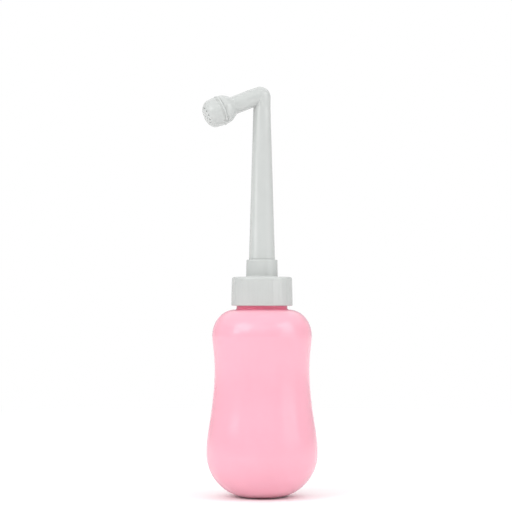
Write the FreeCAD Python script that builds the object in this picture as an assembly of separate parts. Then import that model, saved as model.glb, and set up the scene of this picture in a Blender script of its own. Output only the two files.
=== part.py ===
import FreeCAD, Part

# Hand-held squeeze wash bottle with a screw cap and an angled spray wand.
#
# Frame: +Z up along the bottle's axis, origin in the middle of the face it stands on.
# The wand's arm points along -X and slopes down. All lengths are in millimetres.

import math
import os

from FreeCAD import Placement, Rotation, Vector

# ---------------------------------------------------------------- driving dimensions

# Bottle body: outside radii and the heights where they occur.
WALL = 1.1                    # blow-moulded wall
FOOT_IN_R = 9.0               # inner edge of the standing ring
PUSH_UP = 2.2                 # height of the hollow in the middle of the base
HEEL_ARC_R = 31.5             # one big rounding from the standing ring to the belly
BELLY_R = 40.0
BELLY_Z = 31.3
FLANK = (37.05, 57.2)         # (radius, height) on the way from belly to waist
LOWER_WAIST = (34.95, 74.5)
WAIST = (34.15, 92.5)
UPPER_WAIST = (35.1, 106.6)
SHOULDER_R = 35.85
SHOULDER_Z = 115.2
SHOULDER_TOP_Z = 134.2
PINCH_WIDTH = 1.0             # weld line left by the mould across the base
PINCH_HEIGHT = 0.45
PARTING_WIDTH = 0.5           # fine ridge left by the mould's joint, up both sides
PARTING_HEIGHT = 0.12
PARTING_START_Z = 4.0

# Bottle neck, a 38 mm screw finish.
STUB_R = 18.35                # plain ring between the shoulder and the thread
STUB_FILLET = 1.2
STUB_TOP_Z = 138.2
NECK_R = 17.5
NECK_BORE_R = 15.6
NECK_ROOT_R = 16.7            # middle of the rounding inside, between the shoulder and the bore
LIP_Z = 153.5
LIP_ROUND = 0.4
THREAD_PITCH = 25.4 / 6.0
THREAD_TURNS = 1.5
THREAD_HEIGHT = 1.2
THREAD_ROOT_WIDTH = 2.2
THREAD_CREST_WIDTH = 0.9
NECK_THREAD_Z = 142.3         # middle of the bottle's ridge where it starts
THREAD_CLEARANCE = 0.35

# Screw cap.
CAP_BOTTOM_Z = 136.9
CAP_TOP_Z = 157.7
CAP_TOP_R = 21.7
CAP_BOTTOM_R = 22.1
CAP_EDGE_R = 1.8
CAP_RIM_ROUND = 0.4
CAP_LEAD_IN = 0.6
DECK = 2.2
FLUTE_COUNT = 18
FLUTE_DEPTH = 0.2
FLUTE_CUTTER_R = 12.0
FLUTE_END_ROUND = 0.9
FLUTE_TOP_MARGIN = 1.9
FLUTE_BOTTOM_MARGIN = 1.3
COLLAR_TOP_Z = 170.1
COLLAR_TOP_R = 11.2
COLLAR_BASE_R = 11.4
COLLAR_FILLET = 0.9
COLLAR_ROUND = 0.7
SOCKET_BOTTOM_Z = 150.0       # the collar carries on below the deck as a socket
SOCKET_R = 11.0

# Gasket under the deck.
GASKET_IN_R = 13.2
GASKET_OUT_R = 18.6
GASKET_GAP = 0.05

# Wand: a tapered tube, an elbow and a short arm that ends in a bell.
JOURNAL_R = 8.7               # turns in the cap's socket
JOURNAL_CLEARANCE = 0.08
SHOULDER_STEP_Z = 168.3       # the wand sits down on this step in the collar
STEP_GAP = 0.05
RECESS_R = 9.62
WAND_FOOT_Z = 146.4
WAND_FOOT_R = 8.4
SNAP_R = 9.7                  # snap bead that holds the wand in the socket
SNAP_FULL_Z = 148.1
SNAP_TOP_Z = 149.7
SLOT_WIDTH = 2.0
SLOT_TOP_Z = 151.4
WAND_BASE_R = 9.35
WAND_BASE_Z = 171.0
WAND_TOP_R = 6.2
WAND_TOP_Z = 280.0
BORE_FOOT_R = 6.6
BORE_TOP_R = 4.4
ELBOW_Z = 289.5               # where the tube's axis and the arm's axis cross
ELBOW_BEND = 1.4              # radius of the centre line, so the inside is a sharp crease
ARM_SLOPE = 22.3              # degrees below level
ARM_R = 6.5
ARM_FULL_AT = 9.0             # distances along the arm start at the elbow's crossing point
FLARE_ANGLE = 35.0            # the cone between the arm and the bell
FLARE_FILLET = 0.8            # crisp inner corner where the cone leaves the arm
FLARE_END = 31.4
BELL_R = 10.35
BELL_ROUND = 8.5              # soft outer corner where the cone reaches the bell
BELL_END = 32.5
SPIGOT_R = 8.9
SPIGOT_END = 38.5
SPIGOT_CHAMFER = 0.5
SPIGOT_BORE_R = 6.6
BORE_FLARE_START = 21.5

# Spray rose, a perforated cap pushed over the bell's spigot.
ROSE_START = 32.6
ROSE_FIT = 0.1
ROSE_WALL_R = 10.2
ROSE_BEAD_R = 10.95
ROSE_BEAD_WIDTH = 1.7
ROSE_BAND_START = 35.3
ROSE_BAND_R = 10.55           # the band's full radius
ROSE_BAND_FULL = 35.8
ROSE_BAND_END = 40.2
ROSE_BAND_END_R = 10.1
ROSE_EDGE = ((42.4, 9.25), (44.1, 7.5))
ROSE_TIP = 45.6
ROSE_PLATE = 1.6
ROSE_CHAMBER_START = 39.0
ROSE_CHAMBER_R = 8.3
ROSE_CHAMBER_EDGE = ((41.1, 8.0), (42.8, 6.2))
HOLE_R = 0.5
HOLE_RINGS = ((0.0, 1), (3.1, 6), (6.2, 12))     # (ring radius, holes in the ring)
HOLE_SPREAD = 9.0             # degrees that the outer ring of jets leans outwards

# Round seals.
WAND_SEAL_Z = 161.2
WAND_SEAL_SECTION = 0.7
WAND_SEAL_GROOVE_WIDTH = 2.0
ROSE_SEAL_AT = 35.6
ROSE_SEAL_SECTION = 0.6
ROSE_SEAL_GROOVE_WIDTH = 1.8
SEAL_GAP = 0.03               # between a seal and the bore that it slides or turns in

# Dip tube with a plug that holds it in the wand's foot.
DIP_R = 4.0
DIP_BORE_R = 2.7
DIP_BOTTOM_Z = 10.0
PLUG_BOTTOM_Z = 144.6
PLUG_TOP_Z = 156.0
PLUG_COLLAR_R = 9.0
PLUG_COLLAR_TOP_Z = 146.4
PLUG_LEAD = 0.5
FUNNEL_HEIGHT = 3.0           # the tube widens into the plug's collar over this height
FUNNEL_BORE_STEP = 1.0

UP = Vector(0, 0, 1)
ACROSS = Vector(0, 1, 0)
ORIGIN = Vector(0, 0, 0)


# ---------------------------------------------------------------- drawing helpers

def point(radius, height):
    return Vector(radius, 0, height)


def line(start, end):
    return Part.makeLine(point(*start), point(*end))


def arc(start, middle, end):
    return Part.Arc(point(*start), point(*middle), point(*end)).toShape()


def path(*corners):
    """Straight edges from corner to corner."""
    return [line(a, b) for a, b in zip(corners, corners[1:])]


def round_corner(centre, radius, from_angle):
    """Quarter circle in degrees, from `from_angle` and 90 degrees on, 0 being outwards."""
    r, z = centre
    at = [math.radians(from_angle + step) for step in (0, 45, 90)]
    return arc(*[(r + radius * math.cos(a), z + radius * math.sin(a)) for a in at])


def spline(points, start_tangent, end_tangent):
    """Smooth curve through the points, leaving and arriving along the two tangents."""
    curve = Part.BSplineCurve()
    curve.interpolate(
        Points=[point(*p) for p in points],
        InitialTangent=point(*start_tangent),
        FinalTangent=point(*end_tangent),
    )
    return curve.toShape()


def quarter_ellipse(centre, radial, vertical):
    """Quarter from the outermost point up to the topmost point. Taller than it is wide."""
    r, z = centre
    ellipse = Part.Ellipse(point(r, z + vertical), point(r + radial, z), point(r, z))
    return Part.ArcOfEllipse(ellipse, 0, math.pi / 2).toShape()


def turned(edges):
    """Solid of revolution about Z from edges that close with the axis or with themselves."""
    ordered = Part.__sortEdges__(edges)
    return Part.makeSolid(Part.Face(Part.Wire(ordered)).revolve(ORIGIN, UP, 360))


def ring(inner, outer, bottom, top):
    return turned(path((inner, bottom), (outer, bottom), (outer, top), (inner, top), (inner, bottom)))


def along_arm(shape):
    """Move a shape that was drawn on +Z, from the origin, to the wand's arm."""
    moved = shape.copy()
    moved.Placement = Placement(point(0, ELBOW_Z), Rotation(ACROSS, -(90 + ARM_SLOPE)))
    return moved


def save(shape, node):
    assert shape.isValid() and len(shape.Solids) == 1, node
    shape.exportStep("parts/" + node + ".step")
    box = shape.BoundBox
    print("%-16s %8.0f mm3  z %.1f to %.1f" % (node, shape.Volume, box.ZMin, box.ZMax))


# ---------------------------------------------------------------- screw thread

def thread_ridge(root_r, height, start_z, outward):
    """Trapezoid ridge that climbs THREAD_TURNS and fades out at both ends."""
    sink = 0.4                                  # how deep the ridge's root goes into the wall
    steps_per_turn = 16
    fade_steps = 4
    steps = int(THREAD_TURNS * steps_per_turn)
    side = 1 if outward else -1
    sections = []
    for step in range(steps + 1):
        from_end = min(step, steps - step)
        fade = min(1.0, 0.08 + from_end / fade_steps)
        crest = root_r + side * height * fade
        root = root_r - side * sink
        middle = start_z + THREAD_PITCH * step / steps_per_turn
        slope_width = (THREAD_ROOT_WIDTH - THREAD_CREST_WIDTH) / 2 * (1 + sink / height)
        half_root = THREAD_CREST_WIDTH / 2 + slope_width
        half_crest = THREAD_CREST_WIDTH / 2
        corners = [
            point(root, middle - half_root),
            point(crest, middle - half_crest),
            point(crest, middle + half_crest),
            point(root, middle + half_root),
        ]
        section = Part.makePolygon(corners + corners[:1])
        section.rotate(ORIGIN, UP, 360.0 * step / steps_per_turn)
        sections.append(section)
    return Part.makeLoft(sections, True, False)


# ---------------------------------------------------------------- bottle

def on_heel(inset, height):
    """Radius of the heel's rounding at a height below the belly."""
    heel_r = HEEL_ARC_R - inset
    return BELLY_R - HEEL_ARC_R + math.sqrt(heel_r ** 2 - (BELLY_Z - height) ** 2)


def foot_corner(inset):
    """Outer edge of the standing ring, where the heel meets the ground."""
    return (on_heel(inset, inset), inset)


def body_outline(inset):
    """Edges of the body from the foot ring up to the shoulder, set in from the outside."""
    belly = (BELLY_R - inset, BELLY_Z)
    shoulder = (SHOULDER_R - inset, SHOULDER_Z)
    waist_points = [(r - inset, z) for r, z in (FLANK, LOWER_WAIST, WAIST, UPPER_WAIST)]
    ellipse_centre = (STUB_R + STUB_FILLET, SHOULDER_Z)
    heel_middle_z = BELLY_Z / 3
    return [
        arc(foot_corner(inset), (on_heel(inset, heel_middle_z), heel_middle_z), belly),
        spline([belly] + waist_points + [shoulder], (0, 1), (0, 1)),
        quarter_ellipse(
            ellipse_centre,
            SHOULDER_R - ellipse_centre[0] - inset,
            SHOULDER_TOP_Z - SHOULDER_Z - inset,
        ),
    ]


def arc_mid(start, end, rise):
    """Middle point of a flat arc between two points, raised by `rise` above the chord."""
    return ((start[0] + end[0]) / 2, (start[1] + end[1]) / 2 + rise)


def base_outline(inset):
    """Push-up and standing ring, from the axis out to the foot's outer edge."""
    centre = (0, PUSH_UP + inset)
    ring_in = (FOOT_IN_R, inset)
    return [
        arc(centre, arc_mid(centre, ring_in, PUSH_UP / 4), ring_in),
        line(ring_in, foot_corner(inset)),
    ]


def squeeze_bottle():
    fillet_top = SHOULDER_TOP_Z + STUB_FILLET
    outside = base_outline(0) + body_outline(0)
    outside.append(round_corner((STUB_R + STUB_FILLET, fillet_top), STUB_FILLET, 180))
    outside += path(
        (STUB_R, fillet_top),
        (STUB_R, STUB_TOP_Z),
        (NECK_R, STUB_TOP_Z + (STUB_R - NECK_R)),
        (NECK_R, LIP_Z - LIP_ROUND),
        (NECK_R - LIP_ROUND, LIP_Z),
        (NECK_BORE_R + LIP_ROUND, LIP_Z),
        (NECK_BORE_R, LIP_Z - LIP_ROUND),
    )
    inside = base_outline(WALL) + body_outline(WALL)
    neck_inside_z = SHOULDER_TOP_Z + 2 * WALL
    inside += [
        arc(
            (STUB_R + STUB_FILLET, SHOULDER_TOP_Z - WALL),
            (NECK_ROOT_R, SHOULDER_TOP_Z),
            (NECK_BORE_R, neck_inside_z),
        ),
        line((NECK_BORE_R, neck_inside_z), (NECK_BORE_R, LIP_Z - LIP_ROUND)),
    ]
    axis = [line((0, PUSH_UP), (0, PUSH_UP + WALL))]
    bottle = turned(outside + inside + axis)
    thread = thread_ridge(NECK_R, THREAD_HEIGHT, NECK_THREAD_Z, True)
    return bottle.fuse([thread, pinch_weld()] + parting_lines()).removeSplitter()


def parting_lines():
    """Fine ridges up the two sides of the body, in line with the weld across the base."""
    depth = WALL / 2
    skin = turned(
        body_outline(-PARTING_HEIGHT)
        + body_outline(depth)
        + [line(foot_corner(-PARTING_HEIGHT), foot_corner(depth))]
        + path((STUB_R + STUB_FILLET, SHOULDER_TOP_Z + PARTING_HEIGHT),
               (STUB_R + STUB_FILLET, SHOULDER_TOP_Z - depth))
    )
    height = SHOULDER_TOP_Z - PARTING_START_Z
    corner = Vector(FOOT_IN_R, -PARTING_WIDTH / 2, PARTING_START_Z)
    slab = Part.makeBox(2 * BELLY_R, PARTING_WIDTH, height, corner)
    ridge = skin.common(slab)
    return [ridge, ridge.mirror(ORIGIN, Vector(1, 0, 0))]


def pinch_weld():
    """Low straight weld across the hollow of the base."""
    overlap = WALL / 2
    reach = FOOT_IN_R - PINCH_WIDTH
    centre = (0, PUSH_UP + overlap)
    rim = (FOOT_IN_R, overlap)
    low_centre = (0, PUSH_UP - PINCH_HEIGHT)
    low_rim = (FOOT_IN_R, -PINCH_HEIGHT)
    hollow = turned([
        arc(centre, arc_mid(centre, rim, PUSH_UP / 4), rim),
        arc(low_centre, arc_mid(low_centre, low_rim, PUSH_UP / 4), low_rim),
        line(low_rim, rim),
        line(centre, low_centre),
    ])
    off_ground = 0.05
    corner = Vector(-reach, -PINCH_WIDTH / 2, off_ground)
    bar = Part.makeBox(2 * reach, PINCH_WIDTH, PUSH_UP + WALL, corner)
    return hollow.common(bar)


# ---------------------------------------------------------------- cap and gasket

def screw_cap():
    thread_root_r = NECK_R + THREAD_HEIGHT + THREAD_CLEARANCE
    deck_bottom_z = CAP_TOP_Z - DECK
    bore_r = JOURNAL_R + JOURNAL_CLEARANCE
    edge_z = CAP_TOP_Z - CAP_EDGE_R
    fillet_r = COLLAR_BASE_R + COLLAR_FILLET
    fillet_z = CAP_TOP_Z + COLLAR_FILLET
    collar_edge_r = COLLAR_TOP_R - COLLAR_ROUND
    collar_edge_z = COLLAR_TOP_Z - COLLAR_ROUND
    edges = path(
        (thread_root_r + CAP_LEAD_IN, CAP_BOTTOM_Z),
        (CAP_BOTTOM_R - CAP_RIM_ROUND, CAP_BOTTOM_Z),
        (CAP_BOTTOM_R, CAP_BOTTOM_Z + CAP_RIM_ROUND),
        (CAP_TOP_R, edge_z),
    )
    edges.append(round_corner((CAP_TOP_R - CAP_EDGE_R, edge_z), CAP_EDGE_R, 0))
    edges.append(line((CAP_TOP_R - CAP_EDGE_R, CAP_TOP_Z), (fillet_r, CAP_TOP_Z)))
    edges.append(round_corner((fillet_r, fillet_z), COLLAR_FILLET, 180))
    edges.append(line((COLLAR_BASE_R, fillet_z), (COLLAR_TOP_R, collar_edge_z)))
    edges.append(round_corner((collar_edge_r, collar_edge_z), COLLAR_ROUND, 0))
    edges += path(
        (collar_edge_r, COLLAR_TOP_Z),
        (RECESS_R, COLLAR_TOP_Z),
        (RECESS_R, SHOULDER_STEP_Z),
        (bore_r, SHOULDER_STEP_Z),
        (bore_r, SOCKET_BOTTOM_Z),
        (SOCKET_R, SOCKET_BOTTOM_Z),
        (SOCKET_R, deck_bottom_z),
        (thread_root_r, deck_bottom_z),
        (thread_root_r, CAP_BOTTOM_Z + CAP_LEAD_IN),
        (thread_root_r + CAP_LEAD_IN, CAP_BOTTOM_Z),
    )
    shell = turned(edges)
    between_ridges = NECK_THREAD_Z - THREAD_PITCH / 2
    ridge = thread_ridge(thread_root_r, THREAD_HEIGHT, between_ridges, False)
    return shell.cut(skirt_flutes()).fuse(ridge).removeSplitter()


def skirt_flutes():
    """Shallow finger flutes round the skirt. They follow its draft and stop at its edges."""
    height = CAP_TOP_Z - CAP_BOTTOM_Z - FLUTE_TOP_MARGIN - FLUTE_BOTTOM_MARGIN
    draft = math.degrees(math.atan2(CAP_BOTTOM_R - CAP_TOP_R, CAP_TOP_Z - CAP_BOTTOM_Z))
    reach = CAP_BOTTOM_R + FLUTE_CUTTER_R - FLUTE_DEPTH
    cutter = Part.makeCylinder(FLUTE_CUTTER_R, height)
    end_circles = [e for e in cutter.Edges if e.Curve.TypeId == "Part::GeomCircle"]
    cutter = cutter.makeFillet(FLUTE_END_ROUND, end_circles)
    cutter.rotate(ORIGIN, ACROSS, -draft)
    cutter.translate(point(reach, CAP_BOTTOM_Z + FLUTE_BOTTOM_MARGIN))
    flutes = []
    for number in range(FLUTE_COUNT):
        flute = cutter.copy()
        flute.rotate(ORIGIN, UP, 360.0 * (number + 0.5) / FLUTE_COUNT)
        flutes.append(flute)
    return flutes


def neck_gasket():
    return ring(GASKET_IN_R, GASKET_OUT_R, LIP_Z, CAP_TOP_Z - DECK - GASKET_GAP)


# ---------------------------------------------------------------- wand

def bend_length():
    """Distance from the elbow's crossing point to where each straight run starts."""
    return ELBOW_BEND * math.tan(math.radians(90 + ARM_SLOPE) / 2)


def elbow_heel(radius):
    """Outer side of the elbow: the part of the tube's section beyond the bend's axis."""
    bend_z = ELBOW_Z - bend_length()
    half_chord = math.sqrt(radius ** 2 - ELBOW_BEND ** 2)
    back = Vector(-ELBOW_BEND, -half_chord, bend_z)
    front = Vector(-ELBOW_BEND, half_chord, bend_z)
    section = Part.Wire([
        Part.Arc(back, Vector(radius, 0, bend_z), front).toShape(),
        Part.makeLine(front, back),
    ])
    turn = 90 + ARM_SLOPE
    heel = Part.Face(section).revolve(Vector(-ELBOW_BEND, 0, bend_z), Vector(0, -1, 0), turn)
    return Part.makeSolid(heel)


def cone_flare():
    """Outline from the arm to the bell: fillet, cone and rounding, each tangent to the next."""
    angle = math.radians(FLARE_ANGLE)

    def turn(radius, angle):
        """How far an arc that leaves along the axis gets, outwards and along."""
        return (radius * (1 - math.cos(angle)), radius * math.sin(angle))

    def before_bell(angle):
        out, along = turn(BELL_ROUND, angle)
        return (BELL_R - out, FLARE_END - along)

    fillet_out, fillet_along = turn(FLARE_FILLET, angle)
    cone_end = before_bell(angle)
    cone_start_r = ARM_R + fillet_out
    cone_start_at = cone_end[1] - (cone_end[0] - cone_start_r) / math.tan(angle)
    cone_start = (cone_start_r, cone_start_at)
    arm_end = cone_start_at - fillet_along
    half_out, half_along = turn(FLARE_FILLET, angle / 2)
    return [
        line((ARM_R, ARM_FULL_AT), (ARM_R, arm_end)),
        arc((ARM_R, arm_end), (ARM_R + half_out, arm_end + half_along), cone_start),
        line(cone_start, cone_end),
        arc(cone_end, before_bell(angle / 2), (BELL_R, FLARE_END)),
    ]


def s_flare(start, end):
    """Two equal arcs that leave and arrive along the axis."""
    (r0, t0), (r1, t1) = start, end
    dr = (r1 - r0) / 2
    dt = (t1 - t0) / 2
    radius = (dr ** 2 + dt ** 2) / (2 * dr)
    half_turn = math.asin(dt / radius) / 2
    out = radius * (1 - math.cos(half_turn))
    along = radius * math.sin(half_turn)
    middle = (r0 + dr, t0 + dt)
    return [
        arc(start, (r0 + out, t0 + along), middle),
        arc(middle, (r1 - out, t1 - along), end),
    ]


def seal_groove(surface_r, floor_r, middle, width):
    return path(
        (surface_r, middle - width / 2),
        (floor_r, middle - width / 2),
        (floor_r, middle + width / 2),
        (surface_r, middle + width / 2),
    )


def wand_tube():
    """Upright part, from the foot to the start of the bend, with no bore."""
    bend_z = ELBOW_Z - bend_length()
    step_z = SHOULDER_STEP_Z + STEP_GAP
    floor_r = wand_seal_floor()
    edges = path(
        (0, WAND_FOOT_Z),
        (WAND_FOOT_R, WAND_FOOT_Z),
        (SNAP_R, SNAP_FULL_Z),
        (SNAP_R, SNAP_TOP_Z),
        (JOURNAL_R, SNAP_TOP_Z),
        (JOURNAL_R, WAND_SEAL_Z - WAND_SEAL_GROOVE_WIDTH / 2),
    )
    edges += seal_groove(JOURNAL_R, floor_r, WAND_SEAL_Z, WAND_SEAL_GROOVE_WIDTH)
    edges += path(
        (JOURNAL_R, WAND_SEAL_Z + WAND_SEAL_GROOVE_WIDTH / 2),
        (JOURNAL_R, step_z),
        (WAND_BASE_R, step_z),
        (WAND_BASE_R, WAND_BASE_Z),
        (WAND_TOP_R, WAND_TOP_Z),
        (WAND_TOP_R, bend_z),
        (0, bend_z),
        (0, WAND_FOOT_Z),
    )
    return turned(edges)


def wand_arm():
    """Arm, bell and spigot, with no bore, in place on the arm's axis."""
    start = bend_length()
    floor_r = rose_seal_floor()
    edges = path(
        (0, start),
        (WAND_TOP_R, start),
        (ARM_R, ARM_FULL_AT),
    )
    edges += cone_flare()
    edges += path(
        (BELL_R, FLARE_END),
        (BELL_R, BELL_END),
        (SPIGOT_R, BELL_END),
        (SPIGOT_R, ROSE_SEAL_AT - ROSE_SEAL_GROOVE_WIDTH / 2),
    )
    edges += seal_groove(SPIGOT_R, floor_r, ROSE_SEAL_AT, ROSE_SEAL_GROOVE_WIDTH)
    edges += path(
        (SPIGOT_R, ROSE_SEAL_AT + ROSE_SEAL_GROOVE_WIDTH / 2),
        (SPIGOT_R, SPIGOT_END - SPIGOT_CHAMFER),
        (SPIGOT_R - SPIGOT_CHAMFER, SPIGOT_END),
        (0, SPIGOT_END),
        (0, start),
    )
    return along_arm(turned(edges))


def wand_bore():
    """Water way through the tube, the elbow and the arm."""
    bend_z = ELBOW_Z - bend_length()
    past_end = 1.0
    tube = turned(path(
        (0, WAND_FOOT_Z - past_end),
        (BORE_FOOT_R, WAND_FOOT_Z - past_end),
        (BORE_FOOT_R, PLUG_TOP_Z + past_end),
        (BORE_TOP_R, WAND_TOP_Z),
        (BORE_TOP_R, bend_z),
        (0, bend_z),
        (0, WAND_FOOT_Z - past_end),
    ))
    edges = path(
        (0, bend_length()),
        (BORE_TOP_R, bend_length()),
        (BORE_TOP_R, BORE_FLARE_START),
    )
    edges += s_flare((BORE_TOP_R, BORE_FLARE_START), (SPIGOT_BORE_R, FLARE_END))
    edges += path(
        (SPIGOT_BORE_R, FLARE_END),
        (SPIGOT_BORE_R, SPIGOT_END + past_end),
        (0, SPIGOT_END + past_end),
        (0, bend_length()),
    )
    return tube.fuse([elbow_heel(BORE_TOP_R), along_arm(turned(edges))])


def wand():
    outside = wand_tube().fuse([elbow_heel(WAND_TOP_R), wand_arm()])
    past_end = 1.0
    slots = []
    for angle in (0, 90):
        corner = Vector(-2 * SNAP_R, -SLOT_WIDTH / 2, WAND_FOOT_Z - past_end)
        slot = Part.makeBox(4 * SNAP_R, SLOT_WIDTH, SLOT_TOP_Z - corner.z, corner)
        slot.rotate(ORIGIN, UP, angle)
        slots.append(slot)
    return outside.cut([wand_bore()] + slots).removeSplitter()


# ---------------------------------------------------------------- seals

def wand_seal_floor():
    return JOURNAL_R + JOURNAL_CLEARANCE - SEAL_GAP - 2 * WAND_SEAL_SECTION


def rose_seal_floor():
    return SPIGOT_R + ROSE_FIT - SEAL_GAP - 2 * ROSE_SEAL_SECTION


def seal(floor_r, section, height):
    return Part.makeTorus(floor_r + section, section, point(0, height), UP)


def wand_seal():
    return seal(wand_seal_floor(), WAND_SEAL_SECTION, WAND_SEAL_Z)


def rose_seal():
    return along_arm(seal(rose_seal_floor(), ROSE_SEAL_SECTION, ROSE_SEAL_AT))


# ---------------------------------------------------------------- spray rose

def spray_rose():
    bore_r = SPIGOT_R + ROSE_FIT
    bead_middle = ROSE_START + ROSE_BEAD_WIDTH / 2
    bead_end = ROSE_START + ROSE_BEAD_WIDTH
    leaving = (-0.2, 1)
    arriving = (-1, 0)
    inner_tip = ROSE_TIP - ROSE_PLATE
    outer_edge = [(ROSE_BAND_END_R, ROSE_BAND_END)] + [(r, t) for t, r in ROSE_EDGE] + [(0, ROSE_TIP)]
    inner_edge = [(ROSE_CHAMBER_R, ROSE_CHAMBER_START)] + [(r, t) for t, r in ROSE_CHAMBER_EDGE]
    inner_edge.append((0, inner_tip))
    edges = [
        line((bore_r, ROSE_START), (ROSE_WALL_R, ROSE_START)),
        arc((ROSE_WALL_R, ROSE_START), (ROSE_BEAD_R, bead_middle), (ROSE_WALL_R, bead_end)),
        spline(outer_edge, leaving, arriving),
        line((0, ROSE_TIP), (0, inner_tip)),
        spline(inner_edge, leaving, arriving),
    ]
    edges += path(
        (ROSE_WALL_R, bead_end),
        (ROSE_WALL_R, ROSE_BAND_START),
        (ROSE_BAND_R, ROSE_BAND_FULL),
        (ROSE_BAND_END_R, ROSE_BAND_END),
    )
    edges += path(
        (ROSE_CHAMBER_R, ROSE_CHAMBER_START),
        (bore_r, ROSE_CHAMBER_START),
        (bore_r, ROSE_START),
    )
    return along_arm(turned(edges).cut(spray_holes()))


def spray_holes():
    """Jets in rings. Each ring leans outwards in proportion to its radius."""
    outer_ring_r = HOLE_RINGS[-1][0]
    face = ROSE_TIP - ROSE_PLATE
    reach = 6.0
    holes = []
    for ring_r, count in HOLE_RINGS:
        lean = HOLE_SPREAD * ring_r / outer_ring_r
        for number in range(count):
            hole = Part.makeCylinder(HOLE_R, 2 * reach, Vector(0, 0, -reach))
            hole.rotate(ORIGIN, ACROSS, lean)
            hole.translate(point(ring_r, face))
            hole.rotate(ORIGIN, UP, 360.0 * number / count)
            holes.append(hole)
    return holes


# ---------------------------------------------------------------- dip tube

def dip_tube():
    """Suction tube. Its plug presses into the wand's foot and keeps the snap fingers apart."""
    funnel_z = PLUG_BOTTOM_Z - FUNNEL_HEIGHT
    plug_bore_r = BORE_FOOT_R - (DIP_R - DIP_BORE_R)
    return turned(path(
        (DIP_BORE_R, DIP_BOTTOM_Z),
        (DIP_R, DIP_BOTTOM_Z),
        (DIP_R, funnel_z),
        (PLUG_COLLAR_R, PLUG_BOTTOM_Z),
        (PLUG_COLLAR_R, PLUG_COLLAR_TOP_Z),
        (BORE_FOOT_R, PLUG_COLLAR_TOP_Z),
        (BORE_FOOT_R, PLUG_TOP_Z - PLUG_LEAD),
        (BORE_FOOT_R - PLUG_LEAD, PLUG_TOP_Z),
        (plug_bore_r, PLUG_TOP_Z),
        (plug_bore_r, PLUG_COLLAR_TOP_Z),
        (DIP_BORE_R, funnel_z + FUNNEL_BORE_STEP),
        (DIP_BORE_R, DIP_BOTTOM_Z),
    ))


def main():
    os.makedirs("parts", exist_ok=True)
    save(squeeze_bottle(), "squeeze_bottle")
    save(screw_cap(), "screw_cap")
    save(neck_gasket(), "neck_gasket")
    save(wand(), "wand")
    save(wand_seal(), "wand_seal")
    save(dip_tube(), "dip_tube")
    save(spray_rose(), "spray_rose")
    save(rose_seal(), "rose_seal")


main()
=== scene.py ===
import math

import bpy
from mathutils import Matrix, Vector


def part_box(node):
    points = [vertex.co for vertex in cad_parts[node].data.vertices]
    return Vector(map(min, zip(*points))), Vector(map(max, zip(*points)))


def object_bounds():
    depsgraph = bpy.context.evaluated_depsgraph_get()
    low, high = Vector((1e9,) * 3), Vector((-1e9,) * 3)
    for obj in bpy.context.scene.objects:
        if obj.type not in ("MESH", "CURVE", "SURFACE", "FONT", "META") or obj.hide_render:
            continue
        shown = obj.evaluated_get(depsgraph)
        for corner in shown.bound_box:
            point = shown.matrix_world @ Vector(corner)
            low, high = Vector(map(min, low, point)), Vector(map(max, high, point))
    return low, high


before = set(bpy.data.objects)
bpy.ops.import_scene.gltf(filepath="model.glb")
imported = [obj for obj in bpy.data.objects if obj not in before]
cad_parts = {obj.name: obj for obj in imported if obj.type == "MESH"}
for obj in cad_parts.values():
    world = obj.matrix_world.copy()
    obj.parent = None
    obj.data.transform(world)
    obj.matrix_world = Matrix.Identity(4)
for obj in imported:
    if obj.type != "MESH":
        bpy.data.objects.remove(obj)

MM = 0.001
CAD_LOW, CAD_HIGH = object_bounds()

# ---------------------------------------------------------------- camera and light settings

CAMERA_AZIMUTH = -17.0          # the arm is turned this far towards the camera
CAMERA_DISTANCE = 1250 * MM
CAMERA_HEIGHT = 136.8 * MM
VIEW_CENTRE_HEIGHT = 172.8 * MM
VIEW_WIDTH = 368.6 * MM         # what the frame's width covers at the bottle's axis
VIEW_SIDE_STEP = -4.3 * MM      # the view's centre stands a little left of the axis
SENSOR_WIDTH = 36.0             # millimetres, as Blender states it
CLIP_NEAR = 0.05
CLIP_FAR = 50.0

# Brightness of the white room: the strip near the horizon is dim, the ceiling is bright.
# The camera itself sees plain white, as behind a product on a light table.
BACKDROP = 1.0
HORIZON = 0.45
CEILING = 1.1
HORIZON_TOP = 0.40              # sine of the elevation where the dim strip ends
CEILING_START = 0.52            # sine of the elevation where the ceiling starts

FLOOR_RADIUS = 6.0
FLOOR_SIDES = 128
FLOOR_FADE = (0.30, 1.10)       # between these radii the floor fades into the backdrop's white

# Each softbox: name, azimuth from the camera, distance, lowest edge, width, height, brightness
SOFTBOXES = (
    ("softbox_left", -49.0, 900 * MM, 375 * MM, 760 * MM, 560 * MM, 3.0),
    ("strip_left", -62.0, 900 * MM, 235 * MM, 330 * MM, 135 * MM, 3.0),
    ("softbox_right", 64.0, 900 * MM, 375 * MM, 600 * MM, 560 * MM, 2.5),
    ("strip_right", 64.0, 900 * MM, 130 * MM, 600 * MM, 240 * MM, 1.3),
    ("softbox_front", 0.0, 2600 * MM, 1000 * MM, 1800 * MM, 1200 * MM, 0.6),
    ("softbox_back", 180.0, 1500 * MM, 40 * MM, 2600 * MM, 1400 * MM, 0.2),
)


# ---------------------------------------------------------------- colour settings

# Two nearly equal colours each, that the surface wanders between
BODY_PINKS = (0.84, 0.392, 0.482), (0.86, 0.404, 0.496)
PALE_GREYS = (0.500, 0.517, 0.506), (0.515, 0.532, 0.521)
SILICONE_WHITES = (0.72, 0.71, 0.67), (0.78, 0.77, 0.74)
TUBE_WHITES = (0.78, 0.79, 0.78), (0.85, 0.86, 0.85)
FLOOR_WHITES = (0.93, 0.93, 0.93), (0.95, 0.95, 0.95)

# Painted shade: a deeper, darker pink for the neck, standing in for the shadow under the cap's
# overhang and the pink light bouncing in that gap
NECK_SHADE_PINK = (0.98, 0.25, 0.38)
# Going up the bottle, the painted shade of the neck starts and is full this far below the cap's
# rim
NECK_SHADE_FADE = (3.4 * MM, 2.2 * MM)


# ---------------------------------------------------------------- node helpers

NOISE_SPAN = (0.3, 0.7)         # most of a noise node's values lie between these

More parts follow.
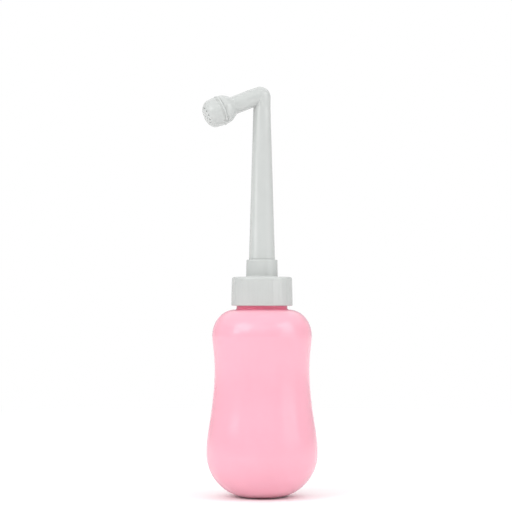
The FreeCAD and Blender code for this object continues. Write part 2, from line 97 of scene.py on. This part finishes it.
# Sockets that have to be picked by number, because several share one name
MIX_FACTOR, MIX_COLOUR_A, MIX_COLOUR_B = 0, 6, 7
MIX_COLOUR_RESULT = 2
FIRST_SHADER, SECOND_SHADER = 1, 2


class Shader:
    """A node tree of one material with short calls for the few node types used here."""

    def __init__(self, name):
        self.material = bpy.data.materials.new(name)
        self.material.use_nodes = True
        self.tree = self.material.node_tree
        self.bsdf = self.tree.nodes["Principled BSDF"]
        coordinates = self.tree.nodes.new("ShaderNodeTexCoord")
        self.place = coordinates.outputs["Object"]

    def set(self, **values):
        for name, value in values.items():
            self.bsdf.inputs[name.replace("_", " ")].default_value = value

    def scatter(self, share, depth, reach=(1.0, 1.0, 1.0)):
        """Light that enters the plastic and leaves up to `depth` metres away, per colour."""
        self.set(Subsurface_Weight=share, Subsurface_Scale=depth, Subsurface_Radius=reach)

    def link(self, output, node, socket):
        self.tree.links.new(output, node.inputs[socket])

    def feed(self, name, output):
        self.link(output, self.bsdf, name)

    def noise(self, size, detail=2.0, stretch=(1, 1, 1)):
        """Noise whose blotches are about `size` metres across."""
        mapping = self.tree.nodes.new("ShaderNodeMapping")
        mapping.inputs["Scale"].default_value = stretch
        self.link(self.place, mapping, "Vector")
        node = self.tree.nodes.new("ShaderNodeTexNoise")
        node.inputs["Scale"].default_value = 1.0 / size
        node.inputs["Detail"].default_value = detail
        self.link(mapping.outputs["Vector"], node, "Vector")
        return node.outputs["Fac"]

    def spread(self, value, low, high, span=NOISE_SPAN):
        """Map the values in a span onto a range."""
        low_at, high_at = span
        node = self.tree.nodes.new("ShaderNodeMapRange")
        node.inputs["From Min"].default_value = low_at
        node.inputs["From Max"].default_value = high_at
        node.inputs["To Min"].default_value = low
        node.inputs["To Max"].default_value = high
        self.link(value, node, "Value")
        return node.outputs["Result"]

    def height(self, low, high):
        """0 below the lower of two heights on the object, 1 above the upper one."""
        split = self.tree.nodes.new("ShaderNodeSeparateXYZ")
        self.link(self.place, split, "Vector")
        return self.spread(split.outputs["Z"], 0, 1, (low, high))

    def mix(self, share, first, second):
        """Blend from a colour socket to a plain colour."""
        node = self.tree.nodes.new("ShaderNodeMix")
        node.data_type = "RGBA"
        self.link(share, node, MIX_FACTOR)
        self.link(first, node, MIX_COLOUR_A)
        node.inputs[MIX_COLOUR_B].default_value = (*second, 1)
        return node.outputs[MIX_COLOUR_RESULT]

    def wander(self, value, colours):
        """Run between two colours as a noise value runs through its span."""
        ramp = self.tree.nodes.new("ShaderNodeValToRGB")
        for element, at, colour in zip(ramp.color_ramp.elements, NOISE_SPAN, colours):
            element.position = at
            element.color = (*colour, 1)
        self.link(value, ramp, "Fac")
        return ramp.outputs["Color"]

    def bump(self, height, depth):
        """Make the surface look uneven by up to `depth` metres."""
        node = self.tree.nodes.new("ShaderNodeBump")
        node.inputs["Strength"].default_value = 1.0
        node.inputs["Distance"].default_value = depth
        self.link(height, node, "Height")
        self.feed("Normal", node.outputs["Normal"])


# ---------------------------------------------------------------- materials

def soft_pink_plastic():
    """Blow-moulded soft polythene: satin, light sinks in a little, a deeper, darker pink painted
    on the neck as the shade under the cap.
    """
    s = Shader("soft_pink_plastic")
    wall = s.wander(s.noise(30 * MM, detail=3), BODY_PINKS)
    cap_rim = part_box("screw_cap")[0].z
    start, full = (cap_rim - below for below in NECK_SHADE_FADE)
    # Painted shade: the neck turns to the deeper, darker pink under the cap
    s.feed("Base Color", s.mix(s.height(start, full), wall, NECK_SHADE_PINK))
    s.feed("Roughness", s.spread(s.noise(8 * MM, detail=4), 0.15, 0.19))
    s.set(IOR=1.51)
    s.scatter(0.15, 3 * MM, (1.0, 0.6, 0.6))
    s.bump(s.noise(14 * MM, detail=1), 0.04 * MM)
    return s.material


def pale_grey_plastic():
    """Injection-moulded polypropylene."""
    s = Shader("pale_grey_plastic")
    s.feed("Base Color", s.wander(s.noise(12 * MM, detail=3), PALE_GREYS))
    s.feed("Roughness", s.spread(s.noise(5 * MM, detail=4), 0.09, 0.13))
    s.set(IOR=1.49)
    s.bump(s.noise(9 * MM, detail=1), 0.015 * MM)
    return s.material


def clear_silicone():
    """Soft milky rubber of the gasket and the two seals."""
    s = Shader("clear_silicone")
    s.feed("Base Color", s.wander(s.noise(3 * MM), SILICONE_WHITES))
    s.feed("Roughness", s.spread(s.noise(1 * MM, detail=3), 0.42, 0.55))
    s.set(IOR=1.41)
    s.scatter(0.3, 2 * MM)
    s.bump(s.noise(0.3 * MM, detail=2), 0.004 * MM)
    return s.material


def natural_tube():
    """Extruded polythene without pigment, streaked along the tube."""
    s = Shader("natural_tube")
    streaks = s.noise(2 * MM, detail=3, stretch=(1, 1, 0.05))
    s.feed("Base Color", s.wander(streaks, TUBE_WHITES))
    s.feed("Roughness", s.spread(streaks, 0.3, 0.45))
    s.set(IOR=1.51)
    s.scatter(0.4, 3 * MM)
    s.bump(streaks, 0.01 * MM)
    return s.material


def floor_paint():
    """Pale matt floor that turns into the backdrop's white away from the object."""
    s = Shader("floor_paint")
    s.feed("Base Color", s.wander(s.noise(400 * MM), FLOOR_WHITES))
    s.feed("Roughness", s.spread(s.noise(50 * MM), 0.7, 0.8))
    s.set(Specular_IOR_Level=0.2)
    distance = s.tree.nodes.new("ShaderNodeVectorMath")
    distance.operation = "LENGTH"
    s.link(s.place, distance, "Vector")
    white = s.tree.nodes.new("ShaderNodeEmission")
    white.inputs["Strength"].default_value = BACKDROP
    mix = s.tree.nodes.new("ShaderNodeMixShader")
    s.link(s.spread(distance.outputs["Value"], 0, 1, FLOOR_FADE), mix, "Fac")
    s.link(s.bsdf.outputs["BSDF"], mix, FIRST_SHADER)
    s.link(white.outputs["Emission"], mix, SECOND_SHADER)
    s.link(mix.outputs["Shader"], s.tree.nodes["Material Output"], "Surface")
    return s.material


def dress_nodes():
    grey = pale_grey_plastic()
    silicone = clear_silicone()
    finishes = {
        "squeeze_bottle": soft_pink_plastic(),
        "screw_cap": grey,
        "wand": grey,
        "spray_rose": grey,
        "dip_tube": natural_tube(),
        "neck_gasket": silicone,
        "wand_seal": silicone,
        "rose_seal": silicone,
    }
    for name, material in finishes.items():
        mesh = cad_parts[name].data
        mesh.materials.clear()
        mesh.materials.append(material)


# ---------------------------------------------------------------- stage, light and camera

def turned_by(degrees, distance):
    """Point on the floor at an azimuth, where 0 is the side that the frame's -Y faces."""
    angle = math.radians(degrees)
    return Vector((math.sin(angle) * distance, -math.cos(angle) * distance, 0))


def aim(thing, target):
    thing.rotation_euler = (target - thing.location).to_track_quat("-Z", "Y").to_euler()


def add_floor():
    bpy.ops.mesh.primitive_circle_add(vertices=FLOOR_SIDES, radius=FLOOR_RADIUS, fill_type="NGON")
    floor = bpy.context.object
    floor.name = "floor"
    floor.location.z = CAD_LOW.z
    floor.data.materials.append(floor_paint())


def add_softboxes():
    middle_height = (CAD_LOW.z + CAD_HIGH.z) / 2
    for name, azimuth, distance, lowest, width, height, brightness in SOFTBOXES:
        light = bpy.data.lights.new(name, "AREA")
        light.shape = "RECTANGLE"
        light.size = width
        light.size_y = height
        light.energy = brightness * math.pi * width * height
        lamp = bpy.data.objects.new(name, light)
        bpy.context.scene.collection.objects.link(lamp)
        lamp.location = turned_by(CAMERA_AZIMUTH + azimuth, distance)
        lamp.location.z = lowest + height / 2
        aim(lamp, Vector((0, 0, middle_height)))


def add_surround():
    """White room. The camera sees it plain white, the object sees its dim and bright parts."""
    world = bpy.data.worlds.new("white_room")
    world.use_nodes = True
    bpy.context.scene.world = world
    tree = world.node_tree
    tree.nodes.clear()
    direction = tree.nodes.new("ShaderNodeTexCoord")
    split = tree.nodes.new("ShaderNodeSeparateXYZ")
    height = tree.nodes.new("ShaderNodeMapRange")
    height.interpolation_type = "SMOOTHSTEP"
    height.inputs["From Min"].default_value = HORIZON_TOP
    height.inputs["From Max"].default_value = CEILING_START
    height.inputs["To Min"].default_value = HORIZON
    height.inputs["To Max"].default_value = CEILING
    seen = tree.nodes.new("ShaderNodeBackground")
    seen.inputs["Strength"].default_value = BACKDROP
    lit = tree.nodes.new("ShaderNodeBackground")
    path = tree.nodes.new("ShaderNodeLightPath")
    mix = tree.nodes.new("ShaderNodeMixShader")
    output = tree.nodes.new("ShaderNodeOutputWorld")
    for background in (seen, lit):
        background.inputs["Color"].default_value = (1, 1, 1, 1)
    tree.links.new(direction.outputs["Generated"], split.inputs["Vector"])
    tree.links.new(split.outputs["Z"], height.inputs["Value"])
    tree.links.new(height.outputs["Result"], lit.inputs["Strength"])
    tree.links.new(path.outputs["Is Camera Ray"], mix.inputs["Fac"])
    tree.links.new(lit.outputs["Background"], mix.inputs[FIRST_SHADER])
    tree.links.new(seen.outputs["Background"], mix.inputs[SECOND_SHADER])
    tree.links.new(mix.outputs["Shader"], output.inputs["Surface"])


def add_camera():
    data = bpy.data.cameras.new("camera")
    data.sensor_width = SENSOR_WIDTH
    data.lens = SENSOR_WIDTH * CAMERA_DISTANCE / VIEW_WIDTH
    data.clip_start = CLIP_NEAR
    data.clip_end = CLIP_FAR
    camera = bpy.data.objects.new("camera", data)
    bpy.context.scene.collection.objects.link(camera)
    camera.location = turned_by(CAMERA_AZIMUTH, CAMERA_DISTANCE)
    camera.location.z = CAMERA_HEIGHT
    sideways = turned_by(CAMERA_AZIMUTH + 90, VIEW_SIDE_STEP)
    aim(camera, sideways + Vector((0, 0, VIEW_CENTRE_HEIGHT)))
    bpy.context.scene.camera = camera


dress_nodes()
add_floor()
add_surround()
add_softboxes()
add_camera()
bpy.context.scene.view_settings.view_transform = "Standard"
